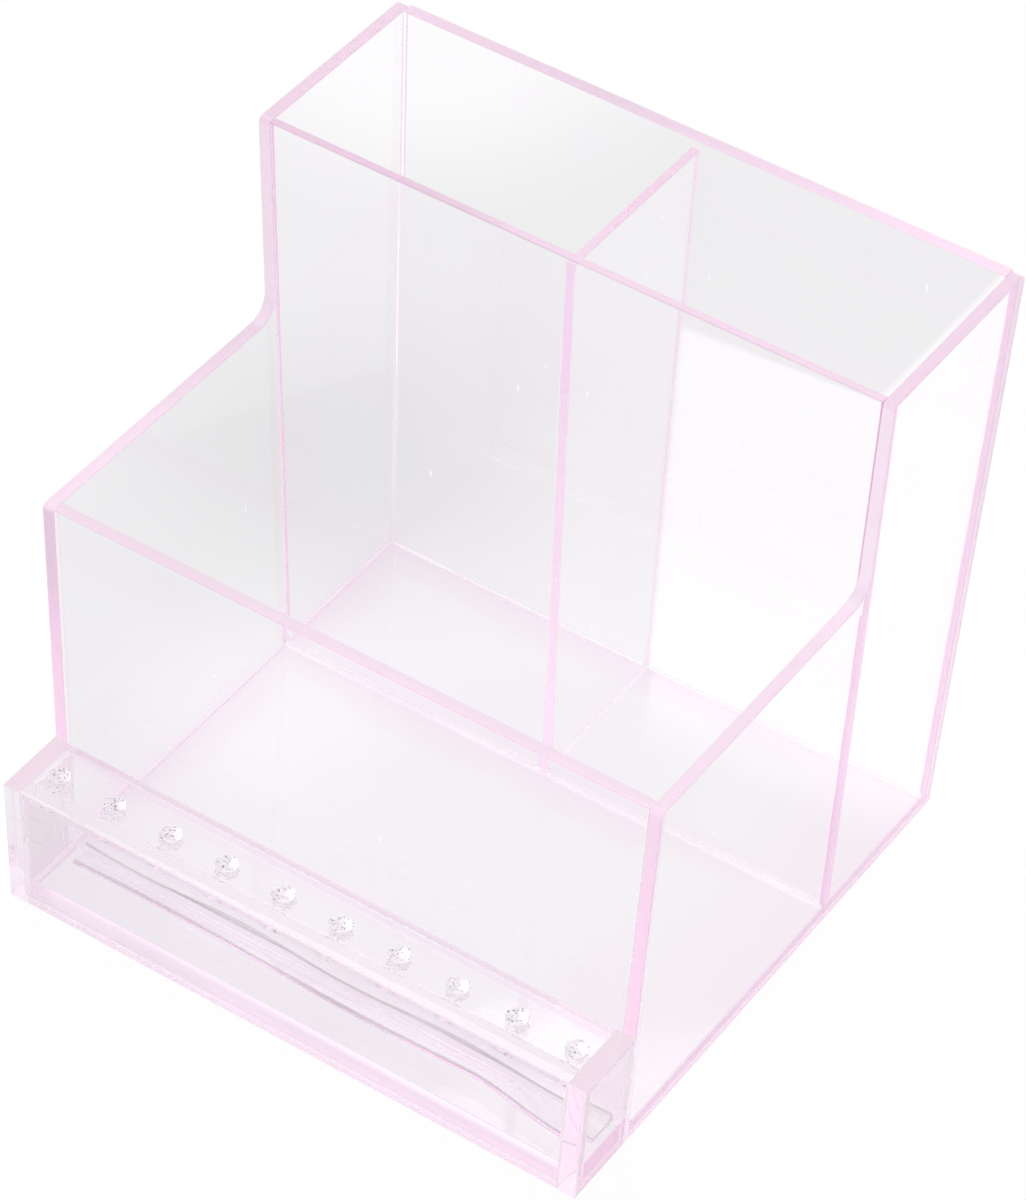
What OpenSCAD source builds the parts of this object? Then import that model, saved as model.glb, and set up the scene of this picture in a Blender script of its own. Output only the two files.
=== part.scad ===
// Clear stepped organiser for nail drill bits, in millimetres.
// Two tall compartments stand behind a low one, and a bit rack runs along the front.
// Every piece is a flat sheet, cemented edge to face to its neighbours.
// The side, back and middle panels lean, so that each tall compartment is widest at its mouth.
// Origin: centre of the footprint on the table. +Z is up, and the rack faces -Y.

/* [Box] */
// Width across the outside of the side panels at the foot
foot_w = 100; // [80:0.5:140]
// Depth of the box at the rim, from its front face to its back face
box_d = 87.6; // [76:0.2:120]
// Height of the tall rear part
tall_h = 103; // [85:0.2:140]
// Height of the low front part
low_h = 67.4; // [45:0.2:75]
// Depth from the box's front face to the middle panel, at the rim
front_d = 52.4; // [35:0.2:60]
// Thickness of the outer sheet
sheet_t = 2; // [1.5:0.1:4]
// Thickness of the middle panel and the centre divider
partition_t = 1.4; // [1:0.1:3]
// Drop of the divider's top edge below the rim
divider_drop = 1.5; // [0:0.1:10]

/* [Lean from upright, in degrees] */
// Side panels, outwards
side_lean = 1.6; // [0:0.1:4]
// Back panel, backwards
back_lean = 1.2; // [0:0.1:3]
// Middle panel, forwards
middle_lean = 1.2; // [0:0.1:3]

/* [Side panel outline] */
// Radius of the fillet inside the step
step_r = 3.5; // [1:0.5:12]
// Radius of the outer corners
corner_r = 1; // [0.2:0.1:4]

/* [Bit rack] */
// Depth of the rack in front of the box
rack_d = 12.4; // [11:0.2:20]
// Height of the rack
rack_h = 22.6; // [15:0.2:35]
// Thickness of the rack's end, front and top plates
rack_t = 3; // [2:0.1:3.4]
// Thickness of the rack's floor plate
rack_floor_t = 4; // [2:0.1:6]
// Diameter of a bit hole
hole_d = 3.2; // [2.5:0.1:4]
// Distance between neighbouring bit holes
hole_pitch = 10; // [5:0.1:20]
// Least distance from the centre of a bit hole to an end plate
hole_margin = 2.4; // [2.2:0.1:10]

/* [Hidden] */
$fn = 48;

sheet_tint = [0.97, 0.87, 0.95, 0.35];
partition_tint = [0.97, 0.90, 0.96, 0.35];
rack_tint = [0.96, 0.88, 0.94, 0.45];

// Planes across the depth
rack_front_y = -(rack_d + box_d) / 2;
box_front_y = rack_front_y + rack_d;
box_back_y = box_front_y + box_d;

// Thicknesses of the leaning panels, measured level
back_level_t = sheet_t / cos(back_lean);
middle_level_t = partition_t / cos(middle_lean);

// Extra length of a trimming shape past what it trims
past = 1;

// Half the outside width at height z, and half the width between side panels of thickness t
function half_out(z) = foot_w / 2 + z * tan(side_lean);
function half_in(z, t) = half_out(z) - t / cos(side_lean);

// Places along Y at height z of the leaning panels' faces
function middle_front(z) = box_front_y + front_d + (tall_h - z) * tan(middle_lean);
function middle_back(z) = middle_front(z) + middle_level_t;
function back_outside(z) = box_back_y - (tall_h - z) * tan(back_lean);
function back_inside(z) = back_outside(z) - back_level_t;

// An outline in X and Z, carried along Y over the whole depth
module along_depth() {
    translate([0, box_back_y + past, 0])
        rotate([90, 0, 0])
            linear_extrude(height = rack_d + box_d + 2 * past)
                children();
}

// An outline in Y and Z, carried along X over a width about the middle
module along_width(width) {
    translate([-width / 2, 0, 0])
        rotate([90, 0, 90])
            linear_extrude(height = width)
                children();
}

full_width = 2 * (half_out(tall_h) + past);

// A sheet with an outline in Y and Z, cut to fit between two leaning panels of thickness t
module between_sides(t) {
    intersection() {
        along_width(full_width) children();
        along_depth()
            polygon([
                [-half_in(-past, t), -past], [half_in(-past, t), -past],
                [half_in(tall_h + past, t), tall_h + past], [-half_in(tall_h + past, t), tall_h + past]
            ]);
    }
}

// A sheet of thickness t with an outline in Y and Z, leaning outwards on the left
module leaning_side(t) {
    intersection() {
        along_width(full_width) children();
        along_depth()
            polygon([
                [-half_out(-past), -past], [-half_in(-past, t), -past],
                [-half_in(tall_h + past, t), tall_h + past], [-half_out(tall_h + past), tall_h + past]
            ]);
    }
}

// Rounding of a corner at p with radius r, where a and b are unit vectors along its two edges:
// the distance from p to where the arc meets an edge, and the centre of the arc
function arc_reach(a, b, r) = r * (1 + a * b) / sqrt(1 - pow(a * b, 2));
function arc_centre(p, a, b, r) = p + (a + b) * r / sqrt(1 - pow(a * b, 2));

// What is trimmed off outside that arc
module corner_waste(p, a, b, r) {
    reach = arc_reach(a, b, r);
    centre = arc_centre(p, a, b, r);
    difference() {
        polygon([
            p - past * (a + b), p + reach * a - past * b, p + reach * a,
            centre, p + reach * b, p + reach * b - past * a
        ]);
        translate(centre) circle(r = r);
    }
}

// The stepped outline of a side panel, in Y and Z
module step_outline() {
    forward = [-1, 0];
    up_middle = [-sin(middle_lean), cos(middle_lean)];
    down_back = [-sin(back_lean), -cos(back_lean)];
    low_front = [box_front_y, low_h];
    step = [middle_front(low_h), low_h];
    rim_front = [middle_front(tall_h), tall_h];
    rim_back = [back_outside(tall_h), tall_h];
    step_reach = arc_reach(forward, up_middle, step_r);
    step_centre = arc_centre(step, forward, up_middle, step_r);
    difference() {
        polygon([
            [box_front_y, 0], [back_outside(0), 0], rim_back, rim_front,
            step + step_reach * up_middle, step_centre, step + step_reach * forward, low_front
        ]);
        translate(step_centre) circle(r = step_r);
        corner_waste(low_front, [0, -1], -forward, corner_r);
        corner_waste(rim_front, -up_middle, -forward, corner_r);
        corner_waste(rim_back, forward, down_back, corner_r);
    }
}

// Floor of all three compartments, held between the four outer walls
module base_panel() {
    color(sheet_tint)
        between_sides(sheet_t)
            polygon([
                [box_front_y + sheet_t, 0], [back_inside(0), 0],
                [back_inside(sheet_t), sheet_t], [box_front_y + sheet_t, sheet_t]
            ]);
}

module left_side_panel() {
    color(sheet_tint) leaning_side(sheet_t) step_outline();
}

module right_side_panel() {
    color(sheet_tint) mirror([1, 0, 0]) leaning_side(sheet_t) step_outline();
}

module back_panel() {
    color(sheet_tint)
        between_sides(sheet_t)
            polygon([
                [back_inside(0), 0], [back_outside(0), 0],
                [back_outside(tall_h), tall_h], [back_inside(tall_h), tall_h]
            ]);
}

module front_panel() {
    color(sheet_tint)
        between_sides(sheet_t)
            translate([box_front_y, 0]) square([sheet_t, low_h]);
}

// Front wall of the tall compartments, standing on the base panel
module middle_panel() {
    color(partition_tint)
        between_sides(sheet_t)
            polygon([
                [middle_front(sheet_t), sheet_t], [middle_back(sheet_t), sheet_t],
                [middle_back(tall_h), tall_h], [middle_front(tall_h), tall_h]
            ]);
}

// Wall between the two tall compartments, standing on the base panel
module centre_divider() {
    divider_top = tall_h - divider_drop;
    color(partition_tint)
        along_width(partition_t)
            polygon([
                [middle_back(sheet_t), sheet_t], [back_inside(sheet_t), sheet_t],
                [back_inside(divider_top), divider_top], [middle_back(divider_top), divider_top]
            ]);
}

// Plate behind the rack's front plate that the ends of the shanks stand on
module rack_floor_plate() {
    color(rack_tint)
        between_sides(rack_t)
            translate([rack_front_y + rack_t, 0]) square([rack_d - rack_t, rack_floor_t]);
}

module rack_end() {
    leaning_side(rack_t) translate([rack_front_y, 0]) square([rack_d, rack_h]);
}

module rack_left_end() {
    color(rack_tint) rack_end();
}

module rack_right_end() {
    color(rack_tint) mirror([1, 0, 0]) rack_end();
}

// Plate across the front of the rack, as tall as the end plates
module rack_front_plate() {
    color(rack_tint)
        between_sides(rack_t)
            translate([rack_front_y, 0]) square([rack_t, rack_h]);
}

// Plate with the row of bit holes, behind the front plate and level with its top edge
module rack_top_plate() {
    row_room = 2 * (half_in(rack_h - rack_t, rack_t) - hole_margin);
    hole_count = floor(row_room / hole_pitch) + 1;
    row_start = -(hole_count - 1) * hole_pitch / 2;
    row_y = rack_front_y + rack_d / 2;
    color(rack_tint)
        difference() {
            between_sides(rack_t)
                translate([rack_front_y + rack_t, rack_h - rack_t]) square([rack_d - rack_t, rack_t]);
            for (i = [0 : hole_count - 1])
                translate([row_start + i * hole_pitch, row_y, rack_h - rack_t - past])
                    cylinder(h = rack_t + 2 * past, d = hole_d);
        }
}

base_panel();
left_side_panel();
right_side_panel();
back_panel();
front_panel();
middle_panel();
centre_divider();
rack_floor_plate();
rack_left_end();
rack_right_end();
rack_front_plate();
rack_top_plate();
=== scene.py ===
import bmesh
import bpy
import numpy as np
from mathutils import Matrix, Vector
from mathutils.geometry import tessellate_polygon


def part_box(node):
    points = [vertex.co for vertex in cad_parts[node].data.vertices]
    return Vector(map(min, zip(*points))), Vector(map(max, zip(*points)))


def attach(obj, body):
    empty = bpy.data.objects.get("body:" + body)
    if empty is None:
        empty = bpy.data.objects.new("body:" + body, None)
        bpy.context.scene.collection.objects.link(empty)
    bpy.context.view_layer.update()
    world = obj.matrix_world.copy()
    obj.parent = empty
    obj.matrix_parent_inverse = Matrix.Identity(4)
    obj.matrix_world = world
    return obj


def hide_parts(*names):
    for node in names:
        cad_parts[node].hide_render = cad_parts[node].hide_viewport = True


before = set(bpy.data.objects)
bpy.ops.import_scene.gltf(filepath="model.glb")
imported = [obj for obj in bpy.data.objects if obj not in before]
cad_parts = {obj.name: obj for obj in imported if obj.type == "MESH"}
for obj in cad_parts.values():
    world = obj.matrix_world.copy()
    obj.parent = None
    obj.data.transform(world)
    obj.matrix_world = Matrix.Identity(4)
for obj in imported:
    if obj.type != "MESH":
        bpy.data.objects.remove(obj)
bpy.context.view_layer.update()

# Studio: white paper under an even white surround, with one wide soft lamp overhead.
# Through the clear sheets the paper reads pale grey, with painted light and shade on it: painted pools of
# light under the box and behind it on the right, and a painted shadow behind it on the left. Seen directly
# it is white, and it keeps the box's shadow.
scene = bpy.context.scene
scene.view_settings.view_transform = "Standard"
bounces = 128
scene.cycles.blur_glossy = 0
scene.cycles.max_bounces = bounces
scene.cycles.glossy_bounces = bounces
scene.cycles.transmission_bounces = bounces
surround_lit, surround_seen = 0.8, 1.0
paper_grey, paper_white, paper_glow = 0.87, 0.92, 0.95
# Centre, inner and outer radius and lift of each painted soft spot on the paper, in metres: a lift above 0
# is painted light, one below 0 painted shade
painted_light_spots = (
    ((-0.125, 0.165), 0.015, 0.062, 0.13),
    ((-0.072, 0.060), 0.0, 0.055, -0.11),
    ((0.010, 0.0), 0.040, 0.090, 0.06),
    ((-0.042, 0.006), 0.005, 0.030, 0.06),
)
# Two painted pools of light behind the box: the direction across each of their soft edges, and where it
# starts and ends
painted_light_pools = (
    (((0.873, 0.487), 0.0228, 0.0240), ((0.092, -1.0), -0.1258, -0.1245), ((0.0, 1.0), 0.030, 0.052)),
    (((1.0, 0.0), -0.0055, -0.0035), ((0.0, 1.0), 0.110, 0.120)),
)
pool_lift = 0.15
floor_half, floor_gap = 4.0, 0.0002
lamp_place, lamp_size, lamp_power = Vector((-0.35, 0.25, 1.1)), (0.9, 0.7), 4.0


def add(tree, kind, inputs=(), **settings):
    """New shader node of a kind with its settings, and its inputs fed from plain values or sockets."""
    node = tree.nodes.new("ShaderNode" + kind)
    for key, value in settings.items():
        setattr(node, key, value)
    for key, value in dict(inputs).items():
        if isinstance(value, bpy.types.NodeSocket):
            tree.links.new(value, node.inputs[key])
        else:
            node.inputs[key].default_value = value
    return node


def work_out(tree, operation, *terms):
    """Result of one Math node on plain values or sockets."""
    return add(tree, "Math", enumerate(terms), operation=operation).outputs[0]


def ramp(tree, value, start, end, shape="LINEAR"):
    """0 to 1 as a value goes from start to end, and level beyond them."""
    ends = {"Value": value, "From Min": start, "From Max": end}
    return add(tree, "MapRange", ends, interpolation_type=shape).outputs["Result"]


def ray_flags(tree):
    """Two flags of the ray that looks. The first is 1 if it comes from the camera, a gloss or a clear sheet,
    and the second is 1 if it comes from the camera."""
    path = add(tree, "LightPath").outputs
    bounced = work_out(tree, "MAXIMUM", path["Is Glossy Ray"], path["Is Transmission Ray"])
    return work_out(tree, "MAXIMUM", path["Is Camera Ray"], bounced), path["Is Camera Ray"]


def soft_spot(tree, place, centre, inner, outer):
    """Round spot that fades smoothly from 1 at its inner radius to 0 at its outer one."""
    apart = add(tree, "VectorMath", {0: place, 1: (*centre, 0)}, operation="DISTANCE").outputs["Value"]
    return ramp(tree, apart, outer, inner, "SMOOTHSTEP")


def soft_edge(tree, place, across, start, end):
    """Straight soft edge: 0 to 1 as the distance along a direction goes from start to end."""
    along = add(tree, "VectorMath", {0: place, 1: (*across, 0)}, operation="DOT_PRODUCT").outputs["Value"]
    return ramp(tree, along, start, end, "SMOOTHSTEP")


world = bpy.data.worlds.new("studio")
scene.world = world
world.use_nodes = True
tree = world.node_tree
seen = ray_flags(tree)[0]
strength = work_out(tree, "MULTIPLY_ADD", seen, surround_seen - surround_lit, surround_lit)
tree.nodes["Background"].inputs["Color"].default_value = (1, 1, 1, 1)
tree.links.new(strength, tree.nodes["Background"].inputs["Strength"])

floor_mesh = bpy.data.meshes.new("floor")
floor_mesh.from_pydata(
    [(-floor_half, -floor_half, -floor_gap), (floor_half, -floor_half, -floor_gap),
     (floor_half, floor_half, -floor_gap), (-floor_half, floor_half, -floor_gap)], [], [(0, 1, 2, 3)])
floor = bpy.data.objects.new("floor", floor_mesh)
scene.collection.objects.link(floor)
paper = bpy.data.materials.new("paper_with_painted_light")
paper.use_nodes = True
tree = paper.node_tree
tree.nodes.remove(tree.nodes["Principled BSDF"])
seen, direct = ray_flags(tree)
place = add(tree, "TexCoord").outputs["Object"]
# Level seen through the sheets: pale grey, with painted spots of light and shade and painted pools of light
# added to it
painted_light_level = paper_grey
for centre, inner, outer, lift in painted_light_spots:
    painted_light_level = work_out(tree, "MULTIPLY_ADD", soft_spot(tree, place, centre, inner, outer), lift, painted_light_level)
brightest = 0.0
for edges in painted_light_pools:
    pool = 1.0
    for across, start, end in edges:
        pool = work_out(tree, "MULTIPLY", soft_edge(tree, place, across, start, end), pool)
    brightest = work_out(tree, "MAXIMUM", pool, brightest)
painted_light_level = work_out(tree, "MULTIPLY_ADD", brightest, pool_lift, painted_light_level)
lit = add(tree, "BsdfDiffuse", {"Color": (paper_white, paper_white, paper_white, 1)})
glow = add(tree, "Emission", {"Color": (1, 1, 1, 1), "Strength": work_out(tree, "MAXIMUM", painted_light_level, direct)})
share = work_out(tree, "SUBTRACT", seen, work_out(tree, "MULTIPLY", direct, 1 - paper_glow))
mixed = add(tree, "MixShader", {0: share, 1: lit.outputs[0], 2: glow.outputs[0]})
tree.links.new(mixed.outputs[0], tree.nodes["Material Output"].inputs["Surface"])
floor_mesh.materials.append(paper)

lamp_data = bpy.data.lights.new("overhead_softbox", "AREA")
lamp_data.shape = "RECTANGLE"
lamp_data.size, lamp_data.size_y = lamp_size
lamp_data.energy = lamp_power
lamp = bpy.data.objects.new("overhead_softbox", lamp_data)
lamp.location = lamp_place
lamp.rotation_euler = lamp_place.to_track_quat("Z", "Y").to_euler()
scene.collection.objects.link(lamp)

# Camera: above the right front corner, looking down at the rack and into the compartments.
# It is turned a little about its own axis, as the hand-held view is.
azimuth, elevation, roll = np.radians((31.887, 42.841, 3.123))
aim = np.array((0.002539, 0.001298, 0.05))
camera_away, camera_lens, camera_sensor = 0.74007, 154.946, 36
ahead = np.array((-np.sin(azimuth), np.cos(azimuth), 0.0))
forward = np.cos(elevation) * ahead - np.array((0.0, 0.0, np.sin(elevation)))
level_right = np.array((np.cos(azimuth), np.sin(azimuth), 0.0))
level_up = np.cross(level_right, forward)
right = np.cos(roll) * level_right + np.sin(roll) * level_up
camera_data = bpy.data.cameras.new("camera")
camera_data.sensor_width = camera_sensor
camera_data.lens = camera_lens
camera = bpy.data.objects.new("camera", camera_data)
turn = np.eye(4)
turn[:3] = np.stack((right, np.cross(right, forward), -forward, aim - camera_away * forward), 1)
camera.matrix_world = Matrix(turn.tolist())
scene.collection.objects.link(camera)
scene.camera = camera

# Base panel: sheet of clear acrylic with a very pale pink dye, the floor of all three compartments.
# It is cut to fit between the four outer walls and cemented to them along its edges.
# Light that has run through the walls leaves them at their feet; that pink glow along the base's joints is
# painted into the base's colour.
side_lean, back_lean, middle_lean = np.radians((1.6, 1.2, 1.2))
bond = 0.03
rim_r, rim_points, mark_rows = 0.2, 5, 24
crisp_angle = np.radians(35)
acrylic_ior = 1.49
sheet_dye, sheet_dye_density = (0.99, 0.80, 0.955), 2.5
polished, satin = (0.0, 0.05), (0.3, 0.4)
tint_patches, smudge_patches, glow_patches = 45, 120, 60
face_pale, face_deep = (0.996, 0.990, 1.0), (0.992, 0.980, 0.996)
base_pale, base_deep = (0.993, 0.978, 0.995), (0.988, 0.965, 0.99)
edge_mauve, edge_salmon = (0.965, 0.82, 0.925), (0.97, 0.82, 0.905)
end_mauve, end_salmon = (1.0, 0.62, 0.90), (1.0, 0.62, 0.88)
# Painted pink glow along the base's joints: its colour, its least reach, the reach's drift, and the reach on
# the right
painted_glow_pink, glow_reach, glow_drift, glow_right = (0.985, 0.865, 0.95), 0.005, 0.003, 0.024
# Scuffs on the clear faces: share of cells that have one, cells to a centimetre, turn, stretch and size
scuff_share, scuff_cells, scuff_turn, scuff_stretch = 0.35, 1.1, (0, 0, 0.6), (1.0, 0.22, 1.0)
scuff_outer, scuff_inner = 0.02, 0.012
scuff_white, scuff_rough, scuff_tilt = (1.0, 1.0, 1.0), 0.25, (0.0, 0.0, 0.8)


def node_box(node):
    """Lowest and highest corner of a CAD node, in millimetres."""
    return tuple(np.array(corner) * 1000 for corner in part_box(node))


side_low, side_high = node_box("left_side_panel")
box_front, box_back, tall_h = side_low[1], side_high[1], side_high[2]
foot_half = -side_low[0] - tall_h * np.tan(side_lean)
sheet_t = node_box("base_panel")[1][2]
middle_rim = node_box("middle_panel")[0][1]


def half_out(z):
    """Half the outside width at height z, which grows with the lean of the side panels."""
    return foot_half + z * np.tan(side_lean)


def half_in(z, t):
    """Half the width between two side panels of thickness t at height z, less the bond."""
    return half_out(z) - t / np.cos(side_lean) - bond


def back_outside(z):
    """Place along Y of the back panel's outer face at height z."""
    return box_back - (tall_h - z) * np.tan(back_lean)


def back_inside(z):
    """Place along Y of the back panel's inner face at height z, less the bond."""
    return back_outside(z) - sheet_t / np.cos(back_lean) - bond


def middle_front(z):
    """Place along Y of the middle panel's front face at height z, which leans forwards as it rises."""
    return middle_rim + (tall_h - z) * np.tan(middle_lean)


def rim_profile(t, rim, rows):
    """Edge of a sheet of thickness t from one face to the other: a quarter circle of radius rim, a straight
    cut in a number of rows, and a second quarter circle. Gives how far each point lies inside the outline,
    and its depth."""
    a = np.linspace(0, np.pi / 2, rim_points)
    cut = np.linspace(rim, t - rim, rows + 1)[1:-1]
    inset = np.r_[rim * (1 - np.sin(a)), 0 * cut, rim * (1 - np.cos(a))]
    depth = np.r_[rim * (1 - np.cos(a)), cut, t - rim * (1 - np.sin(a))]
    return inset, depth


def strips(n, m):
    """Quads between n rings of m points each, where ring i starts at point i * m. Each ring is closed."""
    i, j = np.meshgrid(np.arange(n - 1), np.arange(m), indexing="ij")
    k = (j + 1) % m
    return np.stack((i * m + j, i * m + k, (i + 1) * m + k, (i + 1) * m + j), -1).reshape(-1, 4)


def carried_round(outline, inset, depth):
    """The rim profile carried round an outline: ring i is the outline moved into the sheet by inset[i] along
    the mitre of the two normals at each corner, at depth[i]. Gives the rings as (u, v, depth)."""
    edge = np.roll(outline, -1, axis=0) - outline
    normal = np.c_[-edge[:, 1], edge[:, 0]] / np.linalg.norm(edge, axis=1)[:, None]
    before = np.roll(normal, 1, axis=0)
    mitre = (before + normal) / (1 + (before * normal).sum(1))[:, None]
    flat = outline[None] + inset[:, None, None] * mitre[None]
    return np.concatenate((flat, np.broadcast_to(depth[:, None, None], (*flat.shape[:2], 1))), 2)


def cut_sheet(name, outline, place, t, looks, edge_looks, holes=(), marks=None, rim=rim_r):
    """Flat sheet of thickness t cut to an outline (anticlockwise) with holes (clockwise), in its own plane
    (u, v). place(u, v, depth) puts it in the frame. The rim profile goes round each edge, and two flat faces
    close the sheet. looks 0, 1 and 2 are for the faces, edges and holes, and edge_looks gives another look
    to single edges by number: an edge that is wetted by cement is as clear as a face. marks(angle, depth)
    scales a hole's radius, for the marks of the drill."""
    points, quads, kinds, front, back, start = [], [], [], [], [], 0
    for loop in (outline, *holes):
        n, is_hole = len(loop), loop is not outline
        rings = carried_round(loop, *rim_profile(t, rim, mark_rows if is_hole else 1))
        around = np.full(n, 2 if is_hole else 1)
        if is_hole:
            middle = loop.mean(0)
            arm = rings[..., :2] - middle
            angle = np.arctan2(arm[..., 1], arm[..., 0])
            rings[..., :2] = middle + arm * marks(angle, rings[..., 2])[..., None]
        else:
            around[list(edge_looks)] = list(edge_looks.values())
        quads.append(start + strips(len(rings), n))
        kinds.append(np.resize(around, len(quads[-1])))
        points.append(rings.reshape(-1, 3))
        front.append((start + np.arange(n), rings[0, :, :2]))
        start += rings.shape[0] * n
        back.append((start - n + np.arange(n), rings[-1, :, :2]))
    caps = []
    for end in (front, back):
        index = np.concatenate([numbers for numbers, ring in end])
        flat = [[Vector((u, v, 0)) for u, v in ring] for numbers, ring in end]
        caps.append(index[np.array(tessellate_polygon(flat))])
    points = np.concatenate(points)
    faces = np.concatenate(quads).tolist() + np.concatenate(caps).tolist()
    is_flat = np.arange(len(faces)) >= sum(len(strip) for strip in quads)
    kinds = np.concatenate((*kinds, np.zeros(is_flat.sum(), int)))
    return finished(name, place(*points.T) / 1000, faces, kinds, points[:, :2], looks, is_flat)


def finished(name, points, faces, kinds, plane, looks, is_flat):
    """Mesh object from points in metres and faces, turned outwards, with its looks by number, its own plane
    in centimetres as a UV map, its sharp corners kept crisp, and the flat faces shaded flat."""
    mesh = bpy.data.meshes.new(name)
    mesh.from_pydata(points, [], faces)
    work = bmesh.new()
    work.from_mesh(mesh)
    bmesh.ops.recalc_face_normals(work, faces=work.faces)
    work.to_mesh(mesh)
    work.free()
    mesh.polygons.foreach_set("material_index", kinds.astype(np.int32))
    corner = np.empty(len(mesh.loops), np.int32)
    mesh.loops.foreach_get("vertex_index", corner)
    mesh.uv_layers.new(name="sheet_plane").data.foreach_set("uv", (plane[corner] / 10).ravel())
    mesh.set_sharp_from_angle(angle=crisp_angle)
    mesh.polygons.foreach_set("use_smooth", ~is_flat)
    for look in looks:
        mesh.materials.append(look)
    piece = bpy.data.objects.new(name, mesh)
    scene.collection.objects.link(piece)
    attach(piece, "root")
    return piece


def clear_look(name):
    """New material that refracts as acrylic does: its look, node tree, shader and coordinates."""
    look = bpy.data.materials.new(name)
    look.use_nodes = True
    tree = look.node_tree
    shader = tree.nodes["Principled BSDF"]
    shader.inputs["IOR"].default_value = acrylic_ior
    shader.inputs["Transmission Weight"].default_value = 1
    return look, tree, shader, add(tree, "TexCoord").outputs["Object"]


def blend_tint(tree, share, first, second):
    """Colour that goes from first to second as share goes from 0 to 1."""
    ends = {0: share, 6: first if isinstance(first, bpy.types.NodeSocket) else (*first, 1), 7: (*second, 1)}
    return add(tree, "Mix", ends, data_type="RGBA").outputs[2]


def drift(tree, place, scale, low=0.35, high=0.65):
    """Soft random patches about 1 / scale across, stretched to run from 0 to 1."""
    patch = add(tree, "TexNoise", {"Vector": place, "Scale": scale, "Detail": 2.0}).outputs["Fac"]
    return ramp(tree, patch, low, high)


def drifting(tree, place, scale, low, high):
    """Value that drifts in soft patches from low to high."""
    return work_out(tree, "MULTIPLY_ADD", drift(tree, place, scale), high - low, low)


def scuffs(tree, surface):
    """1 inside a scuff on the outside of a sheet, and 0 elsewhere. The sheet's plane is turned, stretched
    and split into random cells, and a share of the cells have a round spot, which the stretch makes long."""
    plane = add(tree, "UVMap", uv_map="sheet_plane").outputs[0]
    turned = {"Vector": plane, "Rotation": scuff_turn, "Scale": scuff_stretch}
    cells = {"Vector": add(tree, "Mapping", turned).outputs[0], "Scale": scuff_cells}
    cell = add(tree, "TexVoronoi", cells, voronoi_dimensions="2D").outputs
    draw = add(tree, "SeparateColor", {0: cell["Color"]}).outputs[0]
    spot = ramp(tree, cell["Distance"], scuff_outer, scuff_inner)
    chosen = work_out(tree, "MULTIPLY", work_out(tree, "LESS_THAN", draw, scuff_share), spot)
    return work_out(tree, "MULTIPLY", chosen, work_out(tree, "SUBTRACT", 1.0, surface["Backfacing"]))


def acrylic(name, first, second, rough, scuffed=False, glow=None):
    """Clear dyed acrylic: a refracting surface over an inside that absorbs. The surface tint drifts between
    two colours, and faint smudges move the roughness between two values. A scuff is a rough white facet,
    tilted up from the face. glow(tree, place) is a share of painted pink glow by place, which stands in for
    light."""
    look, tree, shader, place = clear_look(name)
    tint = blend_tint(tree, drift(tree, place, tint_patches), first, second)
    if glow:
        tint = blend_tint(tree, glow(tree, place), tint, painted_glow_pink)
    dull = drifting(tree, place, smudge_patches, *rough)
    if scuffed:
        surface = add(tree, "NewGeometry").outputs
        scuff = scuffs(tree, surface)
        dull = work_out(tree, "MAXIMUM", dull, work_out(tree, "MULTIPLY", scuff, scuff_rough))
        tint = blend_tint(tree, scuff, tint, scuff_white)
        tilted = {0: scuff, 1: scuff_tilt, 2: surface["Normal"]}
        facet = add(tree, "VectorMath", tilted, operation="MULTIPLY_ADD").outputs["Vector"]
        facet = add(tree, "VectorMath", {0: facet}, operation="NORMALIZE").outputs["Vector"]
        tree.links.new(facet, shader.inputs["Normal"])
        tree.links.new(scuff, shader.inputs["Metallic"])
    tree.links.new(dull, shader.inputs["Roughness"])
    tree.links.new(tint, shader.inputs["Base Color"])
    dye = add(tree, "VolumeAbsorption", {"Color": (*sheet_dye, 1), "Density": sheet_dye_density})
    tree.links.new(dye.outputs[0], tree.nodes["Material Output"].inputs["Volume"])
    return look


def painted_glow_at_joints(tree, place):
    """Share of painted pink glow on the base, standing in for light that has run down the walls: 1 at a
    wall's foot, fading to 0 within a few millimetres, and further out from the right wall. The distance to
    each wall is taken from its place along X or Y."""
    split = add(tree, "SeparateXYZ", {0: place}).outputs
    side = half_in(sheet_t, sheet_t) / 1000
    to_right, to_left = (work_out(tree, way, side, split["X"]) for way in ("SUBTRACT", "ADD"))
    to_back = work_out(tree, "SUBTRACT", back_inside(sheet_t) / 1000, split["Y"])
    to_middle = work_out(tree, "ABSOLUTE", work_out(tree, "SUBTRACT", split["Y"], middle_front(0) / 1000))
    least = work_out(tree, "MINIMUM", work_out(tree, "MINIMUM", to_left, to_back), to_middle)
    reach = drifting(tree, place, glow_patches, glow_reach, glow_reach + glow_drift)
    narrow = ramp(tree, work_out(tree, "DIVIDE", least, reach), 1.0, 0.0)
    return work_out(tree, "MAXIMUM", narrow, ramp(tree, to_right, glow_right, 0.0))


def rectangle(u0, v0, u1, v1):
    """Rectangle from corner (u0, v0) to corner (u1, v1), anticlockwise."""
    return np.array(((u0, v0), (u1, v0), (u1, v1), (u0, v1)), float)


def level_between(z, t):
    """Placing of a level sheet that rests at height z and fits between side panels of thickness t at every
    depth."""
    return lambda u, v, w: np.stack((u * half_in(z + w, t) / half_in(z, t), v, z + w), -1)


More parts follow.
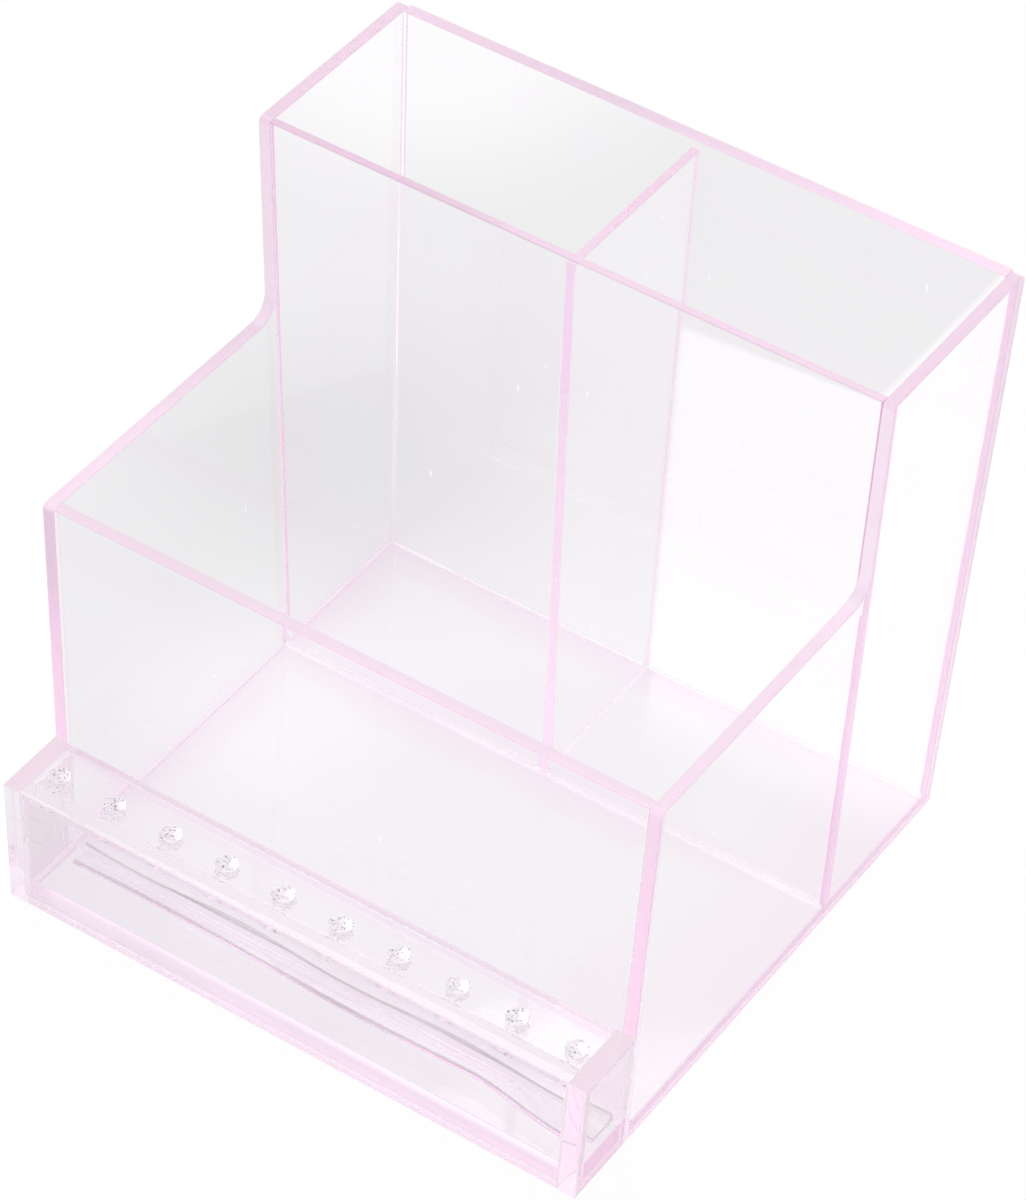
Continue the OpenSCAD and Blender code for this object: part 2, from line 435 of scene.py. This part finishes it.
clear_face = acrylic("clear_pink_acrylic", face_pale, face_deep, polished, scuffed=True)
base_face = acrylic("clear_pink_acrylic_base", base_pale, base_deep, polished, glow=painted_glow_at_joints)
cut_edge = acrylic("clear_pink_acrylic_edge", edge_mauve, edge_salmon, satin)
joined_end = acrylic("clear_pink_acrylic_joined_end", end_mauve, end_salmon, satin)
front_inside, base_half = box_front + sheet_t + bond, half_in(0, sheet_t)
piece = cut_sheet("base_panel_sheet", rectangle(-base_half, front_inside, base_half, back_inside(0)),
                  level_between(0, sheet_t), sheet_t,
                  (base_face, cut_edge, joined_end), {0: 0, 1: 2, 2: 0, 3: 0})
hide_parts("base_panel")

# Side panels: two mirror-image sheets with a stepped outline, sawn and smoothed along their edges.
# They lean outwards, run the full depth of the box and overlap the edges of the panels between them.
low_h, rack_h = node_box("front_panel")[1][2], node_box("rack_left_end")[1][2]
step_r, corner_r, arc_points = 3.5, 1.0, 13
front_mauve, front_salmon = (0.945, 0.76, 0.89), (0.95, 0.76, 0.87)
pale_mauve, pale_salmon = (1.0, 0.98, 1.0), (0.995, 0.97, 0.985)


def rounded(corners, radii):
    """Polygon whose corner i is an arc of radius radii[i]: the arc's centre lies r / sine out along both
    edges' unit vectors, and it sweeps from its foot on one edge to its foot on the other."""
    corners, out = np.asarray(corners, float), []
    for p, q, s, r in zip(np.roll(corners, 1, 0), corners, np.roll(corners, -1, 0), radii):
        if r == 0:
            out.append(q[None])
            continue
        a, b = (p - q) / np.linalg.norm(p - q), (s - q) / np.linalg.norm(s - q)
        sine = np.sqrt(1 - (a @ b) ** 2)
        centre, reach = q + (a + b) * r / sine, r * (1 + a @ b) / sine
        first, last = (np.arctan2(*(q + reach * e - centre)[::-1]) for e in (a, b))
        sweep = (last - first + np.pi) % (2 * np.pi) - np.pi
        angle = first + np.linspace(0, 1, arc_points) * sweep
        out.append(centre + r * np.c_[np.cos(angle), np.sin(angle)])
    return np.concatenate(out)


def leaning_side(side):
    """Placing of a sheet whose plane is (Y, Z), leaning outwards on the left (-1) or the right (1)."""
    return lambda u, v, w: np.stack((side * (half_out(v) - w / np.cos(side_lean)), u, v), -1)


step_outline = rounded(
    ((box_front, 0), (back_outside(0), 0), (back_outside(tall_h), tall_h), (middle_front(tall_h), tall_h),
     (middle_front(low_h), low_h), (box_front, low_h), (box_front, rack_h)),
    (0, 0, corner_r, corner_r, step_r, corner_r, 0))
# Numbers of the edges in front of the tall part and of the low part, and of the joint with the rack
tall_front, low_front, rack_joint = 1 + 2 * arc_points, len(step_outline) - 2, len(step_outline) - 1
side_edges = dict.fromkeys(range(tall_front, tall_front + arc_points), 3) | {low_front: 2, rack_joint: 0}
front_edge = acrylic("clear_pink_acrylic_front_edge", front_mauve, front_salmon, satin)
pale_edge = acrylic("clear_pink_acrylic_pale_edge", pale_mauve, pale_salmon, satin)
hands = (("left", -1), ("right", 1))
for hand, side in hands:
    piece = cut_sheet(f"{hand}_side_panel_sheet", step_outline, leaning_side(side), sheet_t,
                      (clear_face, cut_edge, front_edge, pale_edge), side_edges)
    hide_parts(f"{hand}_side_panel")


# Back panel: full-height sheet between the side panels, leaning backwards.
# It is cemented to the side panels and to the back edge of the base.
def upright_outline(z0, z1, t):
    """Outline in (X, Z) of a sheet that fits between side panels of thickness t from height z0 to z1."""
    low, high = half_in(z0, t), half_in(z1, t)
    return np.array(((-low, z0), (low, z0), (high, z1), (-high, z1)))


def back_place(u, v, w):
    """The depth of the back panel runs forwards from its leaning outer face."""
    return np.stack((u, back_outside(v) - w / np.cos(back_lean), v), -1)


piece = cut_sheet("back_panel_sheet", upright_outline(0, tall_h, sheet_t), back_place, sheet_t,
                  (clear_face, cut_edge, joined_end), {1: 2, 3: 0})
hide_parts("back_panel")


# Front panel: low upright sheet between the side panels, with the bit rack cemented to its outside.
# Its top edge is the rim that the hand passes over to reach the low compartment.
def facing_front(y):
    """Placing of an upright sheet whose front face stands at y."""
    return lambda u, v, w: np.stack((u, y + w, v), -1)


piece = cut_sheet("front_panel_sheet", upright_outline(0, low_h, sheet_t), facing_front(box_front), sheet_t,
                  (clear_face, cut_edge), {1: 0, 3: 0})
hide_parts("front_panel")

# Middle panel: thinner sheet between the low front part and the tall rear part, leaning forwards.
# It stands on the base and is cemented to it and to both side panels.
divider_low, divider_high = node_box("centre_divider")
partition_t = divider_high[0] - divider_low[0]
base_top = sheet_t + bond
thin_mauve, thin_salmon = (0.90, 0.78, 0.85), (0.905, 0.78, 0.835)


def middle_place(u, v, w):
    """The depth of the middle panel runs backwards from its leaning front face."""
    return np.stack((u, middle_front(v) + w / np.cos(middle_lean), v), -1)


thin_edge = acrylic("clear_pink_acrylic_thin_edge", thin_mauve, thin_salmon, satin)
piece = cut_sheet("middle_panel_sheet", upright_outline(base_top, tall_h, sheet_t), middle_place,
                  partition_t, (clear_face, thin_edge, joined_end), {0: 0, 1: 2, 3: 2})
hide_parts("middle_panel")

# Centre divider: thin sheet that splits the tall part in two, with its top edge a little below the rim.
# It stands on the base and is cemented between the middle panel and the back panel.
divider_top = divider_high[2]


def middle_back(z):
    """Place along Y of the middle panel's rear face at height z, plus the bond."""
    return middle_front(z) + partition_t / np.cos(middle_lean) + bond


def divider_place(u, v, w):
    """The divider stands in the middle of the width, in the plane (Y, Z)."""
    return np.stack((w - partition_t / 2, u, v), -1)


divider_outline = np.array((
    (middle_back(base_top), base_top), (back_inside(base_top), base_top),
    (back_inside(divider_top), divider_top), (middle_back(divider_top), divider_top)))
piece = cut_sheet("centre_divider_sheet", divider_outline, divider_place, partition_t,
                  (clear_face, thin_edge, joined_end, pale_edge), {0: 0, 1: 2, 3: 3})
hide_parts("centre_divider")

# Joint cement: thin beads of cement that squeezed out along the inside corners and set there.
# They are uneven along their length. Most have set clear, and those up the right side panel are broader,
# satin and pink.
floor_bead, upright_bead, pink_bead = 0.4, 0.2, 0.5
floor_swell, upright_swell = 0.15, 0.12
# A bead's step along its length, its points round the hollow, and how many reaches it stops short by
bead_step, bead_round, bead_short = 0.8, 7, 1.5
wave_lengths, wave_shares, wave_shifts = np.array(((17, 7.3, 3.1), (0.5, 0.3, 0.2), (1.0, 2.1, 3.7)))
cement_white, cement_pink = (1.0, 0.99, 1.0), (0.995, 0.92, 0.975)
cement_patches, skin_patches, cement_skin = 90, 300, (0.0, 0.1)


def uneven(s, seed):
    """Slow uneven wave along a joint, from -1 to 1: three sines whose lengths share no multiple."""
    return np.sin(s[:, None] * 2 * np.pi / wave_lengths + seed * wave_shifts) @ wave_shares


def swept(path, section, first):
    """Closed bar: a section given at each point of a path, joined ring to ring, with both ends closed. path
    and section are (n, 1, 3) and (n, m, 3) arrays, and first is the number of its first point."""
    n, m = section.shape[:2]
    ends = [(np.arange(m)[::-1] + first).tolist(), (np.arange(m) + (n - 1) * m + first).tolist()]
    return (path + section).reshape(-1, 3), (strips(n, m) + first).tolist() + ends


def bead(start, end, along_a, along_b, reach, swell, seed, first):
    """Hollow fillet in the corner of two walls from start to end. Its section runs out along one wall, over
    to the other on a quarter circle that curves inwards, and home along it. The reach swells and shrinks
    along the joint by a share."""
    start, end = np.array(start, float), np.array(end, float)
    short = bead_short * reach * (end - start) / np.linalg.norm(end - start)
    start, end = start + short, end - short
    length = np.linalg.norm(end - start)
    s = np.linspace(0, length, max(int(length / bead_step), 8))
    size = reach * (1 + swell * uneven(s, seed))
    a = np.linspace(0, np.pi / 2, bead_round)
    on_a, on_b = np.r_[0, 1 - np.sin(a)], np.r_[0, 1 - np.cos(a)]
    shape = on_a[:, None] * np.array(along_a, float) + on_b[:, None] * np.array(along_b, float)
    path = start + (end - start) * (s / length)[:, None]
    return swept(path[:, None], size[:, None, None] * shape, first)


def cement(name, first, second, rough):
    """Set cement: it refracts as the sheets do, its tint drifts between two colours and its skin is duller
    in places."""
    look, tree, shader, place = clear_look(name)
    tint = blend_tint(tree, drift(tree, place, cement_patches), first, second)
    tree.links.new(tint, shader.inputs["Base Color"])
    tree.links.new(drifting(tree, place, skin_patches, *rough), shader.inputs["Roughness"])
    return look


def beads(name, joints, reach, swell, look):
    """One piece of cement with a bead in each joint, given as (start, end, direction along one wall, along
    the other)."""
    points, faces, count = [], [], 0
    for number, joint in enumerate(joints):
        made, joined = bead(*joint, reach, swell, number + 1.0, count)
        points.append(made)
        faces += joined
        count += len(made)
    points = np.concatenate(points)
    kinds = np.zeros(len(faces), int)
    piece = finished(name, points / 1000, faces, kinds, points[:, :2], (look,), kinds > 0)
    return piece


def middle_ahead(z):
    """Place along Y of the middle panel's front face at height z, less the bond."""
    return middle_front(z) - bond


def floor_joint(start, end, along, up_wall):
    """Joint of the base and a wall from one place (x, y) to another, where along runs out over the base."""
    return (*start, base_top), (*end, base_top), (*along, 0), up_wall


def side_joint(side, panel_y, top, along):
    """Joint of a side panel and a panel at panel_y(z), from the base up to a height."""
    start, end = ((side * half_in(z, sheet_t), panel_y(z), z) for z in (base_top, top))
    return start, end, (-side, 0, 0), (0, along, 0)


bond_look = cement("joint_cement", cement_white, cement_pink, cement_skin)
pink_look = cement("pink_joint_cement", end_mauve, end_salmon, satin)
wall_at, divider_at = half_in(base_top, sheet_t), partition_t / 2 + bond
ahead_at, rear_at, back_at = middle_ahead(base_top), middle_back(base_top), back_inside(base_top)
up, up_middle = (0, 0, 1), (0, -np.sin(middle_lean), np.cos(middle_lean))
up_back = (0, np.sin(back_lean), np.cos(back_lean))
floor_joints = [floor_joint((-wall_at, ahead_at), (wall_at, ahead_at), (0, -1), up_middle),
                floor_joint((-wall_at, front_inside), (wall_at, front_inside), (0, 1), up)]
upright_joints, pink_joints = [], []
for hand, side in hands:
    wall, divider = side * wall_at, side * divider_at
    up_side = (side * np.sin(side_lean), 0, np.cos(side_lean))
    floor_joints += [
        floor_joint((wall, front_inside), (wall, ahead_at), (-side, 0), up_side),
        floor_joint((wall, rear_at), (wall, back_at), (-side, 0), up_side),
        floor_joint((divider, rear_at), (wall, rear_at), (0, 1), up_middle),
        floor_joint((divider, back_at), (wall, back_at), (0, -1), up_back),
        floor_joint((divider, rear_at), (divider, back_at), (side, 0), up)]
    tall_joints = pink_joints if hand == "right" else upright_joints
    tall_joints += [
        side_joint(side, middle_ahead, low_h - step_r, -1),
        side_joint(side, middle_back, tall_h - corner_r, 1),
        side_joint(side, back_inside, tall_h - corner_r, -1)]
    upright_joints += [
        side_joint(side, lambda z: front_inside, low_h - corner_r, 1),
        ((divider, rear_at, base_top), (divider, middle_back(divider_top), divider_top),
         (side, 0, 0), (0, 1, 0))]
beads("floor_joint_cement", floor_joints, floor_bead, floor_swell, bond_look)
beads("right_joint_cement", pink_joints, pink_bead, upright_swell, pink_look)
beads("upright_joint_cement", upright_joints, upright_bead, upright_swell, bond_look)

# Rack floor plate: thicker plate inside the rack, on which the ends of the shanks stand.
# It is cemented between the rack's end plates, behind its front plate.
rack_pale, rack_deep = (0.992, 0.978, 0.992), (0.986, 0.963, 0.982)
rack_foot_mauve, rack_foot_salmon = (0.985, 0.975, 0.985), (0.985, 0.975, 0.98)
rack_low, rack_high = node_box("rack_front_plate")
rack_front, rack_t = rack_low[1], rack_high[1] - rack_low[1]
rack_floor_t = node_box("rack_floor_plate")[1][2]
rack_inside, rack_back = rack_front + rack_t + bond, box_front - bond


def rack_level(z):
    """Outline in (X, Y) of a level plate in the rack that rests at height z, behind the front plate."""
    return rectangle(-half_in(z, rack_t), rack_inside, half_in(z, rack_t), rack_back)


rack_face = acrylic("clear_pink_acrylic_rack", rack_pale, rack_deep, polished)
rack_foot_edge = acrylic("clear_pink_acrylic_rack_foot", rack_foot_mauve, rack_foot_salmon, satin)
piece = cut_sheet("rack_floor_sheet", rack_level(0), level_between(0, rack_t), rack_floor_t,
                  (rack_face, rack_foot_edge, joined_end), {1: 2, 2: 0, 3: 2})
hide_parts("rack_floor_plate")

# Rack end plates: one at each end, as high and deep as the rack and flush with the side panel behind it.
# The front, top and floor plates are cemented between them. Their front and rear edges are polished.
rack_side_pale, rack_side_deep = (0.935, 0.86, 0.91), (0.92, 0.845, 0.895)
rack_end_mauve, rack_end_salmon = (0.95, 0.81, 0.895), (0.955, 0.81, 0.885)
rack_corner_pale, rack_corner_deep = (1.0, 0.99, 1.0), (0.99, 0.97, 0.985)
edge_polish = (0.0, 0.08)
rack_side = acrylic("clear_pink_acrylic_rack_side", rack_side_pale, rack_side_deep, polished)
rack_end_edge = acrylic("clear_pink_acrylic_rack_end_edge", rack_end_mauve, rack_end_salmon, satin)
rack_corner = acrylic("clear_pink_acrylic_rack_corner", rack_corner_pale, rack_corner_deep, edge_polish)
for hand, side in hands:
    piece = cut_sheet(f"rack_{hand}_end_sheet", rectangle(rack_front, 0, rack_back, rack_h),
                      leaning_side(side), rack_t, (rack_side, rack_end_edge, rack_corner), {1: 2, 3: 2})
    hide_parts(f"rack_{hand}_end")

# Rack front plate: upright plate across the front of the rack, as tall as the end plates.
# Its top edge is polished, and shows as a strip in front of the plate with the holes.
rack_wall_pale, rack_wall_deep = (0.960, 0.915, 0.952), (0.945, 0.897, 0.935)
rack_mauve, rack_salmon = (0.97, 0.88, 0.94), (0.97, 0.88, 0.93)
rack_rim_r = 0.3
rack_wall = acrylic("clear_pink_acrylic_rack_wall", rack_wall_pale, rack_wall_deep, polished)
rack_edge = acrylic("clear_pink_acrylic_rack_edge", rack_mauve, rack_salmon, edge_polish)
piece = cut_sheet("rack_front_sheet", upright_outline(0, rack_h, rack_t), facing_front(rack_front), rack_t,
                  (rack_wall, rack_edge, rack_foot_edge), {0: 2, 1: 0, 3: 0}, rim=rack_rim_r)
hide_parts("rack_front_plate")

# Rack top plate: plate with a row of ten holes for bit shanks, cemented behind the front plate.
# The holes are drilled, so their walls are frosted and carry the spiral marks of the drill.
hole_r, hole_pitch, hole_count, hole_points = 1.6, 10.0, 10, 48
hole_y = (rack_front + box_front) / 2
plate_z = rack_h - rack_t
drill_feed, groove_share, wobble_share, wobble_twist = 0.55, 0.03, 0.02, 1.3
drilled_white, dust_and_shade_grey, drilled_rough = (1.0, 1.0, 1.0), (0.15, 0.14, 0.15), 0.45
fleck_patches, fleck_from, fleck_to = 2600, 0.59, 0.63
# Reach of the painted pink glow on the top plate along the box's front panel, and its drift
box_glow_reach, box_glow_drift = 0.0025, 0.001


def drill_marks(angle, depth):
    """Radius of a drilled wall against its nominal one: a spiral groove at the drill's feed, and a slow
    three-sided wobble that twists with the depth."""
    spiral = np.sin(depth * 2 * np.pi / drill_feed + angle)
    return 1 + groove_share * spiral + wobble_share * np.sin(3 * angle + wobble_twist * depth)


def painted_glow_at_box(tree, place):
    """Share of painted pink glow on the top plate, standing in for light: 1 where it meets the box's front
    panel, fading to 0 a few millimetres out."""
    gap = work_out(tree, "SUBTRACT", rack_back / 1000, add(tree, "SeparateXYZ", {0: place}).outputs["Y"])
    reach = drifting(tree, place, glow_patches, box_glow_reach, box_glow_reach + box_glow_drift)
    return ramp(tree, work_out(tree, "DIVIDE", gap, reach), 1.0, 0.0, "SMOOTHSTEP")


rack_top_face = acrylic("clear_pink_acrylic_rack_top", rack_pale, rack_deep, polished, glow=painted_glow_at_box)
drilled, tree, shader, place = clear_look("drilled_wall")
shader.inputs["Roughness"].default_value = drilled_rough
# Grey flecks on the frosted walls: partly dust from drilling, partly painted shade for the dark specks that
# the holes show
dust_and_shade_flecks = drift(tree, place, fleck_patches, fleck_from, fleck_to)
tree.links.new(blend_tint(tree, dust_and_shade_flecks, drilled_white, dust_and_shade_grey), shader.inputs["Base Color"])
angle = -np.linspace(0, 2 * np.pi, hole_points, endpoint=False)
ring = hole_r * np.c_[np.cos(angle), np.sin(angle)]
row = (np.arange(hole_count) - (hole_count - 1) / 2) * hole_pitch
piece = cut_sheet("rack_top_sheet", rack_level(plate_z), level_between(plate_z, rack_t), rack_t,
                  (rack_top_face, rack_edge, drilled), {0: 0, 1: 0, 2: 0, 3: 0},
                  holes=[ring + (x, hole_y) for x in row], marks=drill_marks)
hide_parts("rack_top_plate")

# Rack cement: a broad film of cement that ran along the back of the rack's floor and up the front panel.
# It is wavy at both edges and widest at the right end. It has set clear, and is tinted dark grey along its
# front edge and at the top of its rise.
film_start, film_end, film_step = -44.0, 46.0, 0.25
film_reach, film_t, film_rise, film_curve = 3.3, 0.5, 1.3, 1.6
reach_swing, reach_wave, reach_shift = 0.35, 70, 10
rise_swing, rise_wave, rise_shift = 0.6, 38, 25
spread_reach, spread_start, spread_run = 2.4, 26, 18
top_points, edge_points, line_rows = 20, 9, 3
film_pale, film_deep, film_skin = (0.985, 0.95, 0.98), (0.98, 0.92, 0.965), (0.0, 0.03)
film_line_pale, film_line_deep, film_line_skin = (0.60, 0.58, 0.60), (0.45, 0.43, 0.45), (0.1, 0.2)


def cement_film():
    """Bar along X, flat on top with a rounded front edge. Near the wall its top rises on a square law, to a
    height that is a sine of X. Its reach on the floor is another sine of X, and grows in a smooth step near
    the right end. Gives its points, its faces and for each face 1 on the front edge and at the top of the
    rise, and 0 elsewhere."""
    x = np.arange(film_start, film_end, film_step)
    s = np.linspace(0, 1, top_points)
    a = np.linspace(0, np.pi / 2, edge_points)
    spread = np.clip((x - spread_start) / spread_run, 0, 1)
    reach = film_reach + reach_swing * np.sin((x + reach_shift) * 2 * np.pi / reach_wave)
    reach += spread_reach * spread ** 2 * (3 - 2 * spread)
    rise = film_rise + rise_swing * np.sin((x + rise_shift) * 2 * np.pi / rise_wave)
    flat = np.ones((len(x), 1))
    out = np.concatenate((film_curve * s * flat, reach[:, None] - film_t + film_t * np.sin(a), 0 * flat), 1)
    high = np.concatenate((film_t + rise[:, None] * (1 - s) ** 2, film_t * np.cos(a) * flat, 0 * flat), 1)
    section = np.stack((0 * out, -out, high), -1)
    path = np.stack((x, 0 * x + rack_back - bond, 0 * x + rack_floor_t + bond), -1)
    points, faces = swept(path[:, None], section, 0)
    strip = np.arange(len(faces)) % out.shape[1]
    on_edge = (strip >= top_points) & (strip < top_points + edge_points - 1)
    return points, faces, np.where(on_edge | (strip < line_rows), 1, 0)


points, faces, kinds = cement_film()
film_look = acrylic("cement_film", film_pale, film_deep, film_skin)
film_line = acrylic("cement_film_line", film_line_pale, film_line_deep, film_line_skin)
piece = finished("rack_cement_film", points / 1000, faces, kinds, points[:, :2],
                 (film_look, film_line), kinds > 1)
